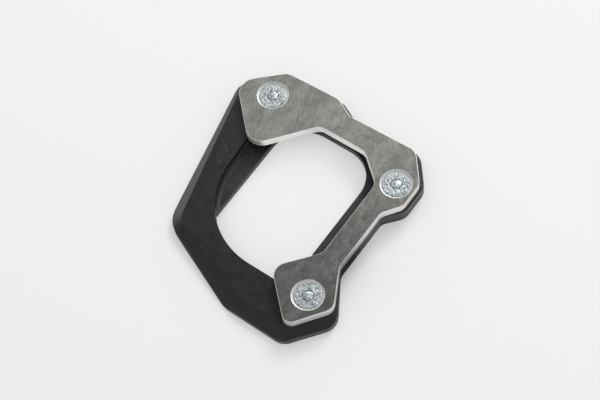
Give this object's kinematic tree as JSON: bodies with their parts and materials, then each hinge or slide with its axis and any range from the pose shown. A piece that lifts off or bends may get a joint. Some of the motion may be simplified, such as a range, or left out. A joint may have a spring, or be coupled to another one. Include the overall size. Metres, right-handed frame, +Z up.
{
  "type": "kickstand foot enlarger",
  "caption": "Wide milled foot that clamps under a motorcycle's side stand, with a C-shaped plate screwed over the stand's foot.",
  "frame": {"origin": "middle of the bounding box, on the ground face", "axes": "+Z up from the ground face through the clamp plate; +Y along the through-opening towards the plate's closed side; +X across the opening towards the two-lobed side of the plate"},
  "size_m": [0.085, 0.09, 0.009],
  "materials": {
    "black_anodised": "satin black anodised, milled",
    "stainless_sheet": "brushed stainless sheet with bright cut edges",
    "zinc_plated": "bright zinc plated"
  },
  "bodies": {
    "root": {"base": "black_anodised", "clamp_plate": "stainless_sheet", "left_screw": "zinc_plated", "right_screw": "zinc_plated", "lower_screw": "zinc_plated"}
  },
  "joints": []
}
